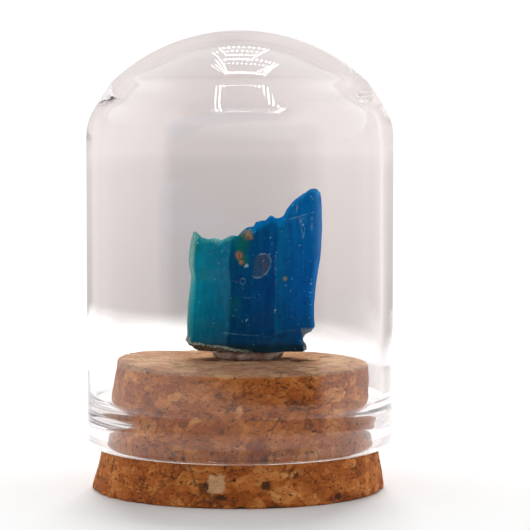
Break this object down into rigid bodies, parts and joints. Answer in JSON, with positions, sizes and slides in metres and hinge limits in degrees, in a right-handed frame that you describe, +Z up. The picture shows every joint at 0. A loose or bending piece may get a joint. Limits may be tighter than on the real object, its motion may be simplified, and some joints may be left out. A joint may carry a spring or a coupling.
{
  "type": "blue opal specimen in glass dome",
  "caption": "Small clear glass dome on a tapered cork stopper, holding an upright broken chunk of blue to teal opal glued to the cork, for display.",
  "frame": {"origin": "middle of the cork's flat underside, on the dome's axis", "axes": "+Z up along the dome's axis; -Y towards the opal's front face, the side with the round mark; +X to the viewer's right, where the opal is tallest"},
  "size_m": [0.03, 0.03, 0.0448],
  "materials": {
    "cork": "pressed cork granules, matt, pitted",
    "clear_glass": "clear blown glass, polished",
    "clear_glue": "hardened clear glue, slightly cloudy",
    "opal": "glassy broken faces, blue to teal, with specks of brown matrix"
  },
  "bodies": {
    "root": {"cork_base": "cork", "glass_dome": "clear_glass", "glue_pad": "clear_glue", "blue_opal": "opal"}
  },
  "joints": []
}
